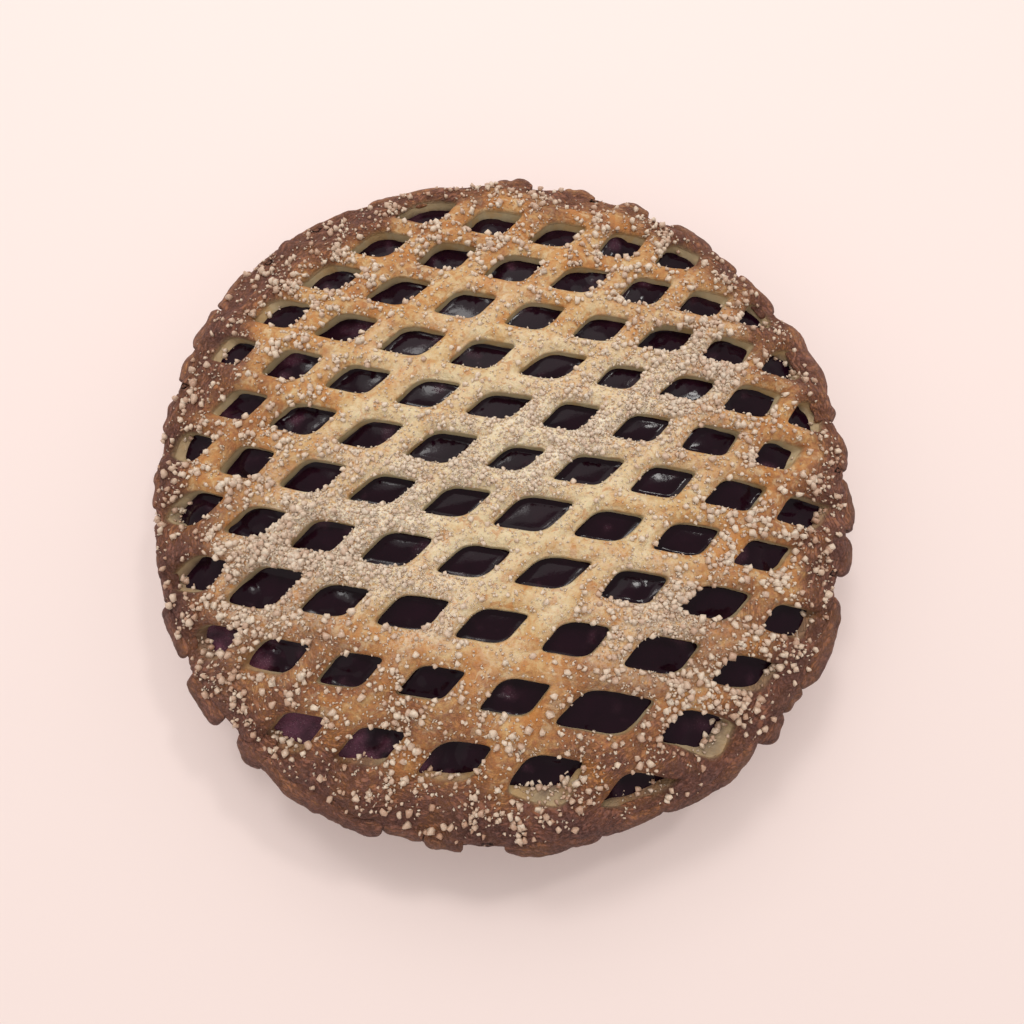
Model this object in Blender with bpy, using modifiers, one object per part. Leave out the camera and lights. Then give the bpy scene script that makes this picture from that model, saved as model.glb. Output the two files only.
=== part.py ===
# Cherry pie with a stretched lattice crust.
#
# Three solid pieces, all in metres, +Z up, origin at the middle of the flat
# underside, +X to the right and +Y to the back:
#   bottom_crust   turned pastry shell: flat base, sloped wall, crimped flange
#   filling        cherry filling, level with the flange and domed in the middle
#   lattice_crust  one sheet of pastry, cut in staggered slits and pulled open
#                  into diamond windows, draped over the filling and the flange
import math

import bmesh
import bpy
import numpy as np

# ---------------------------------------------------------------- dimensions
PIE_R = 0.1200          # radius that the top crust is trimmed to
RIM_Z = 0.0375          # top of the top crust at its edge
DOME_H = 0.0144         # how far the middle stands above the edge
DOME_POWER = 3.0        # dome height falls off as 1 - (r / PIE_R) ** power
STRIP_T = 0.0058        # thickness of the top crust
EDGE_THIN = 0.30        # share of the thickness lost where it is pressed on the flange
THIN_FROM = 0.0980      # radius where it starts to thin out
STRIP_CROWN = 0.0014    # strips are puffed: this much higher along their middle
STRIP_SINK = 0.0008     # and this much lower at the edges of the windows

LATTICE_A = (0.0189, 0.0148)    # step from one window to the next, up a row
LATTICE_B = (0.0243, -0.0040)   # step from one window to the next, across
LATTICE_O = (0.0102, -0.0172)   # middle of the window nearest the centre
# the sheet isn't pulled evenly: how much further it is drawn out, as shares of
# the radius at the edge, for xx, xy, yy, xxx, xxy, xyy and yyy
STRETCH_X = (0.0, -0.085, 0.005, -0.035, -0.10, 0.10, -0.11)
STRETCH_Y = (0.035, -0.055, -0.03, -0.03, 0.125, -0.03, 0.16)
WINDOW_U = 0.292        # half the window along A, in steps, in the middle
WINDOW_U_BACK = 0.038   # this much more at the back edge, less at the front
WINDOW_V = 0.300        # half the window along B, in steps
WINDOW_SHEAR = 0.034    # the window's ends along A slip this far along B
SHUT_FROM = 0.1135      # windows whose middle is beyond this radius are pressed shut
# a few windows were pulled wider or stayed narrower than the rest
WINDOW_SCALE = {(-3, 3): 1.20, (0, 0): 1.14, (-2, -2): 1.18, (1, -4): 1.10,
                (3, 1): 1.10, (3, -1): 0.86, (-3, 1): 0.88, (1, -1): 0.90}
SHARP_IN = 0.95         # the two sharp window corners are drawn in this much
BLUNT_IN = 0.93         # and the two blunt ones this much: rounded pastry
SIDE_OUT = 1.02         # window sides bow out a little

# trimmed edge: slow swells of the outline as (direction in degrees, half width
# in degrees, size), and the rounded lobes of pastry as (from, to, size)
EDGE_R = 0.1177
EDGE_SWELLS = ((136, 19, 0.0072),)
EDGE_LOBES = (
    (1, 8, 0.0036), (10, 14.5, 0.0030), (14.5, 30, 0.0048), (32.5, 41, 0.0030),
    (42.5, 48.5, 0.0032), (48.5, 57, 0.0062), (62, 67.5, 0.0056), (72.5, 78, 0.0042),
    (84.5, 91.5, 0.0048), (99, 115, 0.0042), (116, 139, 0.0022), (139.5, 147.5, 0.0044),
    (148.5, 156, 0.0046), (156, 162.5, 0.0040), (165.5, 172, 0.0030), (178.5, 185.5, 0.0018),
    (193, 201.5, 0.0010), (202.5, 211, 0.0032), (214.5, 222.5, 0.0058), (226.5, 232, 0.0050),
    (232, 252, 0.0048), (252, 258.5, 0.0014), (259, 264.5, 0.0030), (271, 285, 0.0041),
    (285, 295, 0.0022), (295, 312.5, 0.0046), (312.5, 318.5, 0.0052), (318.5, 323.5, 0.0028),
    (323.5, 338.5, 0.0058), (343, 349, 0.0036), (350.5, 359, 0.0036),
)

BASE_R = 0.0900         # flat underside
WALL_OUT_R = 0.1095     # outside of the wall, under the flange
FLANGE_R = 0.1178       # edge of the flange
FLANGE_T = 0.0036       # thickness of the flange
WALL_IN_R = 0.1060      # inside of the wall at the filling's edge
FLOOR_R = 0.0865        # inside of the wall at the floor
FLOOR_T = 0.0040        # thickness of the floor
CRIMP_N = 29            # waves round the flange
CRIMP = 0.0006          # height of the waves
GAP = 0.0003            # clearance between pieces that touch
TOP_GAP = 0.0009        # clearance under the faceted top crust
SEGMENTS = 48
TRIM_STEPS = 150


# ------------------------------------------------------------------- helpers
def clear_scene():
    for ob in list(bpy.data.objects):
        bpy.data.objects.remove(ob, do_unlink=True)


def collection(name):
    col = bpy.data.collections.new(name)
    bpy.context.scene.collection.children.link(col)
    return col


def material(name, color, roughness, metallic=0.0, coat=0.0):
    mat = bpy.data.materials.new(name)
    mat.use_nodes = True
    bsdf = mat.node_tree.nodes["Principled BSDF"]
    bsdf.inputs["Base Color"].default_value = (*color, 1.0)
    bsdf.inputs["Roughness"].default_value = roughness
    bsdf.inputs["Metallic"].default_value = metallic
    bsdf.inputs["Coat Weight"].default_value = coat
    return mat


def dome_z(r):
    """Height of the top crust's upper side at radius r."""
    return RIM_Z + DOME_H * (1.0 - (r / PIE_R) ** DOME_POWER)


def full_share(r):
    """1 where the top crust has its full thickness, 0 at its pressed edge."""
    t = min(1.0, max(0.0, (PIE_R - r) / (PIE_R - THIN_FROM)))
    return t * t * (3.0 - 2.0 * t)


def under_z(r):
    """Height of the top crust's underside at radius r."""
    thick = STRIP_T * (1.0 - EDGE_THIN * (1.0 - full_share(r)))
    return dome_z(r) - STRIP_SINK - thick


def stretched(u, v):
    """Plan position of lattice coordinates (u, v): windows at whole numbers."""
    x = (LATTICE_O[0] + u * LATTICE_A[0] + v * LATTICE_B[0]) / PIE_R
    y = (LATTICE_O[1] + u * LATTICE_A[1] + v * LATTICE_B[1]) / PIE_R
    terms = (x * x, x * y, y * y, x ** 3, x * x * y, x * y * y, y ** 3)
    sx = sum(w * t for w, t in zip(STRETCH_X, terms))
    sy = sum(w * t for w, t in zip(STRETCH_Y, terms))
    return (x + sx) * PIE_R, (y + sy) * PIE_R


def slow_radius(angle):
    """Radius of the trimmed edge without its lobes."""
    r = EDGE_R
    for deg, half, out in EDGE_SWELLS:
        d = (math.degrees(angle) - deg + 180.0) % 360.0 - 180.0
        r += out * math.exp(-(d / half) ** 2)
    return r


def edge_radius(angle):
    """Radius of the trimmed edge of the top crust in one direction."""
    r = slow_radius(angle)
    deg = math.degrees(angle) % 360.0
    for first, last, out in EDGE_LOBES:
        for turn in (0.0, -360.0):
            t = (deg + turn - first) / (last - first)
            if 0.0 < t < 1.0:
                r += out * (4.0 * t * (1.0 - t)) ** 0.4
    return r


def turned(name, profile, mat, col):
    """Revolve a profile of (radius, height) points, drawn from the axis at the
    top round the outer side to the axis at the bottom."""
    mesh = bpy.data.meshes.new(name + "_profile")
    mesh.from_pydata([(r, 0.0, z) for r, z in profile],
                     [(i, i + 1) for i in range(len(profile) - 1)], [])
    ob = bpy.data.objects.new(name, mesh)
    col.objects.link(ob)
    screw = ob.modifiers.new("turn", "SCREW")
    screw.axis = "Z"
    screw.angle = 2.0 * math.pi
    screw.steps = SEGMENTS
    screw.render_steps = SEGMENTS
    screw.use_merge_vertices = True
    screw.merge_threshold = 0.00002
    screw.use_smooth_shade = True
    bpy.context.view_layer.update()
    deps = bpy.context.evaluated_depsgraph_get()
    solid = bpy.data.meshes.new_from_object(ob.evaluated_get(deps))
    solid.name = name
    ob.modifiers.clear()
    ob.data = solid
    bpy.data.meshes.remove(mesh)
    bm = bmesh.new()
    bm.from_mesh(solid)
    bmesh.ops.remove_doubles(bm, verts=bm.verts, dist=0.00002)
    bmesh.ops.recalc_face_normals(bm, faces=bm.faces)
    bm.to_mesh(solid)
    bm.free()
    solid.materials.clear()
    solid.materials.append(mat)
    return ob


# -------------------------------------------------------------- bottom crust
def bottom_crust(col):
    mat = material("baked_pastry", (0.30, 0.17, 0.10), 0.75)
    r0, r1 = WALL_IN_R, FLANGE_R
    flange_top = [(r, under_z(r) - TOP_GAP)
                  for r in (r0, r0 + 0.5 * (r1 - r0))]
    edge_top = under_z(r1) - TOP_GAP
    profile = [(0.0, FLOOR_T), (FLOOR_R - 0.003, FLOOR_T)]
    # inner wall, rounded at the floor, slightly hollow on the way up
    for t in (0.0, 0.4, 0.8):
        r = FLOOR_R + (WALL_IN_R - FLOOR_R) * t ** 0.8
        z = FLOOR_T + 0.0015 + (flange_top[0][1] - 0.001 - FLOOR_T - 0.0015) * t
        profile.append((r, z))
    profile += flange_top
    profile += [(r1 - 0.0007, edge_top), (r1, edge_top - 0.0012),
                (r1 - 0.0006, edge_top - FLANGE_T + 0.0008),
                (r1 - 0.0035, edge_top - FLANGE_T - 0.0002),
                (WALL_OUT_R, edge_top - FLANGE_T - 0.0012)]
    z_top = profile[-1][1]
    for t in (0.65, 0.25):
        r = BASE_R + (WALL_OUT_R - BASE_R) * t ** 0.85
        profile.append((r, z_top * t))
    profile += [(BASE_R - 0.0005, 0.0006), (BASE_R - 0.0025, 0.0), (0.0, 0.0)]
    ob = turned("bottom_crust", profile, mat, col)
    # the flange isn't a true circle: gentle waves in radius and in height
    lowest = edge_top - FLANGE_T - 0.002
    for v in ob.data.vertices:
        r = math.hypot(v.co.x, v.co.y)
        if r > 0.105 and v.co.z > lowest:
            a = math.atan2(v.co.y, v.co.x)
            k = min(1.0, (r - 0.105) / 0.010)
            grow = 1.0 + k * (slow_radius(a) / EDGE_R - 1.0) + k * CRIMP * (math.sin(CRIMP_N * a) + math.sin(5 * a + 0.6)) / r
            v.co.x *= grow
            v.co.y *= grow
            v.co.z += min(0.0, under_z(r * grow) - under_z(r)) * k
            v.co.z -= k * CRIMP * 0.5 * (1.0 + math.sin(CRIMP_N * a + 1.0))
    return ob


# ------------------------------------------------------------------- filling
def filling(col):
    mat = material("cherry_filling", (0.055, 0.010, 0.022), 0.15, coat=0.6)
    top_r = WALL_IN_R - 0.0012
    profile = [(0.0, under_z(0.0) - TOP_GAP)]
    for k in range(1, 6):
        r = top_r * (k / 5.0) ** 0.8
        profile.append((r, under_z(r) - TOP_GAP))
    edge = profile[-1][1]
    flange_z = under_z(WALL_IN_R) - TOP_GAP
    low_z = FLOOR_T + GAP
    for t in (0.8, 0.4, 0.0):
        r = FLOOR_R + (WALL_IN_R - FLOOR_R) * t ** 0.8 - 0.0012
        z = FLOOR_T + 0.0015 + (flange_z - 0.001 - FLOOR_T - 0.0015) * t
        profile.append((r, min(z, edge - 0.0005)))
    profile += [(FLOOR_R - 0.0045, low_z), (0.0, low_z)]
    return turned("filling", profile, mat, col)


# ------------------------------------------------------------- lattice crust
def lattice_crust(col, cutters):
    mat = material("lattice_pastry", (0.62, 0.43, 0.24), 0.65)
    bm = bmesh.new()
    sign = (0.0, -1.0, 0.0, 1.0)
    reach = 7
    made = {}

    def vertex(i, a, j, b):
        """Grid vertex a, b (0 to 3) of cell i, j; a or b of 4 is the next cell's."""
        if a == 4:
            i, a = i + 1, 0
        if b == 4:
            j, b = j + 1, 0
        key = (i, a, j, b)
        if key in made:
            return made[key]
        cx, cy = stretched(i, j)
        if a and b:                       # on the window's outline
            if a == 2 or b == 2:
                k = SIDE_OUT
            else:
                k = SHARP_IN if a == b else BLUNT_IN
            k *= WINDOW_SCALE.get((i, j), 1.0)
            du = sign[a] * k * (WINDOW_U + WINDOW_U_BACK * cy / PIE_R)
            dv = sign[b] * k * WINDOW_V - sign[a] * WINDOW_SHEAR
        else:                             # on the middle line of a strip
            du = -0.5 if a == 0 else sign[a] * WINDOW_U
            dv = -0.5 if b == 0 else sign[b] * WINDOW_V
        x, y = stretched(i + du, j + dv)
        r = math.hypot(x, y)
        crown = STRIP_CROWN if (a == 0 or b == 0) else -STRIP_SINK
        if math.hypot(cx, cy) > SHUT_FROM and a and b:
            crown = 0.0
        if a == 0 and b == 0:
            crown *= 0.7
        made[key] = bm.verts.new((x, y, dome_z(r) + crown))
        return made[key]

    for i in range(-reach, reach + 2):
        for j in range(-reach - 2, reach + 1):
            x, y = stretched(i, j)
            if math.hypot(x, y) > PIE_R + 0.030:
                continue
            if abs(i) > 8 or abs(j) > 9:
                continue
            shut = math.hypot(x, y) > SHUT_FROM
            for a in range(4):
                for b in range(4):
                    if a in (1, 2) and b in (1, 2) and not shut:
                        continue          # the window itself
                    bm.faces.new((vertex(i, a, j, b), vertex(i, a, j, b + 1),
                                  vertex(i, a + 1, j, b + 1), vertex(i, a + 1, j, b)))
    bmesh.ops.recalc_face_normals(bm, faces=bm.faces)
    if sum(f.normal.z for f in bm.faces) < 0:
        bmesh.ops.reverse_faces(bm, faces=bm.faces)
    mesh = bpy.data.meshes.new("lattice_crust")
    bm.to_mesh(mesh)
    bm.free()
    mesh.materials.append(mat)
    ob = bpy.data.objects.new("lattice_crust", mesh)
    col.objects.link(ob)
    solid = ob.modifiers.new("thickness", "SOLIDIFY")
    solid.thickness = STRIP_T
    solid.offset = -1.0
    solid.use_even_offset = False
    solid.thickness_vertex_group = 1.0 - EDGE_THIN
    full = ob.vertex_groups.new(name="full_thickness")
    for v in mesh.vertices:
        full.add([v.index], full_share(math.hypot(v.co.x, v.co.y)), "REPLACE")
    solid.vertex_group = full.name

    # trimmed edge: an upright prism with the outline of the cut
    n = TRIM_STEPS
    ring = [edge_radius(2 * math.pi * k / n) for k in range(n)]
    bm = bmesh.new()
    verts = [bm.verts.new((ring[k] * math.cos(2 * math.pi * k / n),
                           ring[k] * math.sin(2 * math.pi * k / n), 0.010))
             for k in range(n)]
    base = bm.faces.new(verts)
    grown = bmesh.ops.extrude_face_region(bm, geom=[base])
    for v in grown["geom"]:
        if isinstance(v, bmesh.types.BMVert):
            v.co.z = 0.090
    bmesh.ops.recalc_face_normals(bm, faces=bm.faces)
    cut_mesh = bpy.data.meshes.new("trim_outline")
    bm.to_mesh(cut_mesh)
    bm.free()
    cutter = bpy.data.objects.new("trim_outline", cut_mesh)
    cutters.objects.link(cutter)
    cutter.hide_render = True
    cutter.display_type = "WIRE"
    trim = ob.modifiers.new("trim", "BOOLEAN")
    trim.operation = "INTERSECT"
    trim.solver = "EXACT"
    trim.object = cutter
    return ob


def main():
    clear_scene()
    pie = collection("cherry_pie")
    cutters = collection("cutters")
    bottom_crust(pie)
    filling(pie)
    lattice_crust(pie, cutters)


main()
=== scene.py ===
# Looks of the cherry pie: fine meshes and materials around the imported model.
import math

import bmesh
import bpy
import numpy as np
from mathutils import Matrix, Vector


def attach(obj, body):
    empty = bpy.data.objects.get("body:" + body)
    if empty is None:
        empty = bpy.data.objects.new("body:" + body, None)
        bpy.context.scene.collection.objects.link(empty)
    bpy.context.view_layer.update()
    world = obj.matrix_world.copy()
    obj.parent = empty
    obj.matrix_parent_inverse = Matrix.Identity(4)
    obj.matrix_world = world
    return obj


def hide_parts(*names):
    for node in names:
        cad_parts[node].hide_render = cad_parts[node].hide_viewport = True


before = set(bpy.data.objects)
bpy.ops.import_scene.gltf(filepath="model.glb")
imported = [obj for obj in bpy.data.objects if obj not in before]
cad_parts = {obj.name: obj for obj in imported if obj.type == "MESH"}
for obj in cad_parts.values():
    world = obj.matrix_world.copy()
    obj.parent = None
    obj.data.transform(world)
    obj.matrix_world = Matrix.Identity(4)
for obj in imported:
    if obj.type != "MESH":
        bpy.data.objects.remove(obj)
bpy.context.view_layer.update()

# ------------------------------------------------------------------ dimensions
# the same named sizes as the model, in metres
PIE_R = 0.1200
RIM_Z = 0.0375
DOME_H = 0.0144
DOME_POWER = 3.0
STRIP_T = 0.0058
EDGE_THIN = 0.30
THIN_FROM = 0.0980
STRIP_CROWN = 0.0007
STRIP_SINK = 0.0008
LATTICE_A = (0.0189, 0.0148)
LATTICE_B = (0.0243, -0.0040)
LATTICE_O = (0.0102, -0.0172)
STRETCH_X = (0.0, -0.085, 0.005, -0.035, -0.10, 0.10, -0.11)
STRETCH_Y = (0.035, -0.055, -0.03, -0.03, 0.125, -0.03, 0.16)
WINDOW_U = 0.292
WINDOW_U_BACK = 0.038
WINDOW_V = 0.300
WINDOW_SHEAR = 0.034
SHUT_FROM = 0.1135
WINDOW_SCALE = {(-3, 3): 1.20, (0, 0): 1.14, (-2, -2): 1.18, (1, -4): 1.10,
                (3, 1): 1.10, (3, -1): 0.86, (-3, 1): 0.88, (1, -1): 0.90}
WIDE = {(-4, 3): 1.0, (-3, 4): 1.0, (4, 1): 0.8, (-2, -3): 0.7, (-1, -4): 0.55}    # windows with a long pale slope
EDGE_R = 0.1177
EDGE_SWELLS = ((136, 19, 0.0072),)
EDGE_LOBES = (
    (1, 8, 0.0036), (10, 14.5, 0.0030), (14.5, 30, 0.0048), (32.5, 41, 0.0030),
    (42.5, 48.5, 0.0032), (48.5, 57, 0.0062), (62, 67.5, 0.0056), (72.5, 78, 0.0042),
    (84.5, 91.5, 0.0054), (99, 115, 0.0042), (116, 139, 0.0022), (139.5, 147.5, 0.0044),
    (148.5, 156, 0.0046), (156, 162.5, 0.0040), (165.5, 172, 0.0030), (178.5, 185.5, 0.0018),
    (193, 201.5, 0.0010), (202.5, 211, 0.0032), (214.5, 222.5, 0.0058), (226.5, 232, 0.0050),
    (232, 252, 0.0048), (252, 258.5, 0.0014), (259, 264.5, 0.0024), (271, 285, 0.0034),
    (285, 295, 0.0022), (295, 312.5, 0.0046), (312.5, 318.5, 0.0052), (318.5, 323.5, 0.0028),
    (323.5, 338.5, 0.0058), (343, 349, 0.0036), (350.5, 359, 0.0036),
)
BASE_R = 0.0900
WALL_OUT_R = 0.1095
FLANGE_R = 0.1178
FLANGE_T = 0.0036
WALL_IN_R = 0.1060

RNG = np.random.RandomState(20417)


# ----------------------------------------------------------------------- noise
class Noise:
    """Gradient noise of points in space, about -1 to 1, the same each run."""

    def __init__(self, seed):
        rng = np.random.RandomState(seed)
        p = rng.permutation(256)
        self.p = np.concatenate([p, p, p])
        g = rng.normal(size=(256, 3))
        self.g = g / np.linalg.norm(g, axis=1, keepdims=True)

    def __call__(self, pts, scale=1.0):
        q = np.asarray(pts, float) * scale + 137.31
        i = np.floor(q).astype(int)
        f = q - i
        w = f * f * f * (f * (f * 6 - 15) + 10)
        i &= 255
        out = np.zeros(len(q))
        for a in (0, 1):
            wa = w[:, 0] if a else 1 - w[:, 0]
            for b in (0, 1):
                wb = w[:, 1] if b else 1 - w[:, 1]
                for c in (0, 1):
                    wc = w[:, 2] if c else 1 - w[:, 2]
                    h = self.p[self.p[self.p[(i[:, 0] + a) & 255] + ((i[:, 1] + b) & 255)]
                               + ((i[:, 2] + c) & 255)]
                    d = f - np.array([a, b, c])
                    out += wa * wb * wc * np.einsum("ij,ij->i", self.g[h], d)
        return out * 1.6

    def fbm(self, pts, scale, octaves=4, gain=0.5):
        out, amp, total = 0.0, 1.0, 0.0
        for k in range(octaves):
            out = out + amp * self(np.asarray(pts) + 7.7 * k, scale * 2 ** k)
            total += amp
            amp *= gain
        return out / total

    def ridged(self, pts, scale, octaves=3):
        out, amp, total = 0.0, 1.0, 0.0
        for k in range(octaves):
            out = out + amp * (1 - 2 * np.abs(self(np.asarray(pts) + 3.3 * k, scale * 2 ** k)))
            total += amp
            amp *= 0.5
        return out / total


N1, N2, N3, N4 = Noise(1), Noise(2), Noise(3), Noise(4)


def smooth(a, b, x):
    t = np.clip((x - a) / (b - a), 0.0, 1.0)
    return t * t * (3 - 2 * t)


# ----------------------------------------------------------------- base shapes
def dome_z(r):
    return RIM_Z + DOME_H * (1.0 - (r / PIE_R) ** DOME_POWER)


def dome_slope(r):
    return -DOME_H * DOME_POWER * (r / PIE_R) ** (DOME_POWER - 1) / PIE_R


def full_share(r):
    return smooth(0.0, 1.0, (PIE_R - r) / (PIE_R - THIN_FROM))


def thickness(r):
    return STRIP_T * (1.0 - EDGE_THIN * (1.0 - full_share(r)))


def stretched(u, v):
    x = (LATTICE_O[0] + u * LATTICE_A[0] + v * LATTICE_B[0]) / PIE_R
    y = (LATTICE_O[1] + u * LATTICE_A[1] + v * LATTICE_B[1]) / PIE_R
    terms = (x * x, x * y, y * y, x ** 3, x * x * y, x * y * y, y ** 3)
    sx = sum(w * t for w, t in zip(STRETCH_X, terms))
    sy = sum(w * t for w, t in zip(STRETCH_Y, terms))
    return (x + sx) * PIE_R, (y + sy) * PIE_R


def slow_radius(angle):
    r = EDGE_R + 0.0 * angle
    for deg, half, out in EDGE_SWELLS:
        d = (np.degrees(angle) - deg + 180.0) % 360.0 - 180.0
        r = r + out * np.exp(-(d / half) ** 2)
    return r


def squareness(mid):
    """Power of a lobe's outline: square strip ends at the left, round lobes
    of dough elsewhere."""
    return 0.20 if 130 < mid % 360 < 262 else 0.42


def lobe(angle):
    """How far the lobes of the edge stand out in a direction, and 0 to 1
    across the lobe there."""
    deg = np.degrees(angle) % 360.0
    out, across = np.zeros_like(deg), np.ones_like(deg)
    for first, last, size in EDGE_LOBES:
        for turn in (0.0, -360.0):
            t = (deg + turn - first) / (last - first)
            on = (t > 0) & (t < 1)
            k = 4.0 * t[on] * (1.0 - t[on])
            out[on] = size * k ** squareness((first + last) / 2)
            across[on] = k
    return out, across


def edge_radius(angle):
    return slow_radius(angle) + lobe(np.asarray(angle, float))[0]


# sugar falls thickest in a band across the pie; 0 to 1 by plan position
def sugar_band(x, y):
    # along a line from the middle left, through the middle, to the upper right
    p = np.stack([x, y, np.zeros_like(x)], 1)
    bend = 0.006 * N3(p, 35.0)
    d1 = np.abs(y - 0.002 - 0.46 * x + bend) / 0.021
    a = np.exp(-d1 ** 2) * smooth(-0.100, -0.070, x) * (1 - smooth(0.070, 0.092, x))
    d2 = np.hypot((x - 0.048) / 0.020, (y + 0.052) / 0.015)
    d3 = np.hypot((x + 0.050) / 0.026, (y + 0.028) / 0.014)
    d4 = np.hypot((x + 0.020) / 0.014, (y + 0.046) / 0.012)
    b = 0.9 * np.exp(-d2 ** 2) + 0.8 * np.exp(-d3 ** 2) + 0.6 * np.exp(-d4 ** 2)
    return np.clip((a + b) * (0.75 + 0.6 * N2(p, 85.0)), 0, 1)


def browning(x, y):
    """How well baked the top is: 0 pale, 1 dark, by plan position."""
    r = np.hypot(x, y) / PIE_R
    p = np.stack([x, y, np.zeros_like(x)], 1)
    patch = N2.fbm(p, 55.0, 3)
    lean = (0.11 * (-y / PIE_R) + 0.01 * (-x / PIE_R)) * smooth(0.1, 0.6, r)
    b = 0.10 + 0.36 * smooth(0.22, 0.76, r) + 0.40 * smooth(0.78, 0.98, r + 0.08 * patch) + lean + 0.18 * patch
    return np.clip(b, 0, 1)


# -------------------------------------------------------------------- meshing
def new_object(name, verts, faces, mat, attrs=None, smooth_shade=True, vecs=None, normals=None):
    """faces: array (n, 3) or (n, 4), or a list of such arrays."""
    groups = faces if isinstance(faces, list) else [faces]
    mesh = bpy.data.meshes.new(name)
    mesh.vertices.add(len(verts))
    mesh.vertices.foreach_set("co", np.asarray(verts, np.float32).ravel())
    loops = np.concatenate([g.ravel() for g in groups]).astype(np.int32)
    sizes = np.concatenate([np.full(len(g), g.shape[1]) for g in groups]).astype(np.int32)
    starts = np.concatenate([[0], np.cumsum(sizes)[:-1]]).astype(np.int32)
    mesh.loops.add(len(loops))
    mesh.loops.foreach_set("vertex_index", loops)
    mesh.polygons.add(len(sizes))
    mesh.polygons.foreach_set("loop_start", starts)
    mesh.update(calc_edges=True)
    mesh.validate()
    if smooth_shade:
        mesh.shade_smooth()
    for key, val in (attrs or {}).items():
        at = mesh.attributes.new(key, "FLOAT", "POINT")
        at.data.foreach_set("value", np.asarray(val, np.float32))
    for key, val in (vecs or {}).items():
        at = mesh.attributes.new(key, "FLOAT_VECTOR", "POINT")
        at.data.foreach_set("vector", np.asarray(val, np.float32).ravel())
    if normals is not None:
        mesh.normals_split_custom_set_from_vertices(np.asarray(normals, float).tolist())
    mesh.materials.append(mat)
    ob = bpy.data.objects.new(name, mesh)
    bpy.context.scene.collection.objects.link(ob)
    return ob


def weld(verts, tol=1e-6):
    key = np.round(verts / tol).astype(np.int64)
    _, first, inverse = np.unique(key, axis=0, return_index=True, return_inverse=True)
    return first, inverse.ravel()


# ------------------------------------------------------------------ materials
def node(nt, kind, **kw):
    n = nt.nodes.new(kind)
    for k, v in kw.items():
        if k in n.inputs and not hasattr(n, k):
            n.inputs[k].default_value = v
        else:
            setattr(n, k, v)
    return n


def ramp(nt, fac, stops):
    n = nt.nodes.new("ShaderNodeValToRGB")
    el = n.color_ramp.elements
    while len(el) < len(stops):
        el.new(0.5)
    for e, (pos, col) in zip(el, stops):
        e.position = pos
        e.color = (*col, 1.0)
    nt.links.new(fac, n.inputs["Fac"])
    return n.outputs["Color"]


def mix(nt, fac, a, b, kind="MIX"):
    n = nt.nodes.new("ShaderNodeMix")
    n.data_type = "RGBA"
    n.blend_type = kind
    n.clamp_factor = True
    for sock, val in ((n.inputs[0], fac), (n.inputs[6], a), (n.inputs[7], b)):
        if isinstance(val, bpy.types.NodeSocket):
            nt.links.new(val, sock)
        elif isinstance(val, (int, float)):
            sock.default_value = val
        else:
            sock.default_value = (*val, 1.0)
    return n.outputs[2]


def maths(nt, op, a, b=None, c=None, clamp=False):
    n = nt.nodes.new("ShaderNodeMath")
    n.operation = op
    n.use_clamp = clamp
    for k, val in enumerate((a, b, c)):
        if val is None:
            continue
        if isinstance(val, bpy.types.NodeSocket):
            nt.links.new(val, n.inputs[k])
        else:
            n.inputs[k].default_value = val
    return n.outputs[0]


def noise_tex(nt, vec, scale, detail=4.0, rough=0.55, distortion=0.0, kind="FBM"):
    n = nt.nodes.new("ShaderNodeTexNoise")
    n.noise_type = kind
    n.inputs["Scale"].default_value = scale
    n.inputs["Detail"].default_value = detail
    n.inputs["Roughness"].default_value = rough
    n.inputs["Distortion"].default_value = distortion
    nt.links.new(vec, n.inputs["Vector"])
    return n.outputs["Fac"]


def band_of(nt, fac, low, high):
    """0 below low, 1 above high, smooth between."""
    n = nt.nodes.new("ShaderNodeMapRange")
    n.interpolation_type = "SMOOTHSTEP"
    n.inputs["From Min"].default_value = low
    n.inputs["From Max"].default_value = high
    nt.links.new(fac, n.inputs["Value"])
    return n.outputs["Result"]


def attr(nt, name, out="Fac"):
    n = nt.nodes.new("ShaderNodeAttribute")
    n.attribute_name = name
    return n.outputs[out]


def base_material(name):
    mat = bpy.data.materials.new(name)
    mat.use_nodes = True
    nt = mat.node_tree
    bsdf = nt.nodes["Principled BSDF"]
    tc = nt.nodes.new("ShaderNodeTexCoord")
    return mat, nt, bsdf, tc.outputs["Object"]


def bump(nt, bsdf, height, strength, distance, prev=None):
    n = nt.nodes.new("ShaderNodeBump")
    n.inputs["Strength"].default_value = strength
    n.inputs["Distance"].default_value = distance
    nt.links.new(height, n.inputs["Height"])
    if prev is not None:
        nt.links.new(prev, n.inputs["Normal"])
    nt.links.new(n.outputs["Normal"], bsdf.inputs["Normal"])
    return n.outputs["Normal"]


def srgb(r, g, b):
    def lin(c):
        c = c / 255.0
        return c / 12.92 if c <= 0.04045 else ((c + 0.055) / 1.055) ** 2.4
    return (lin(r), lin(g), lin(b))


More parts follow.
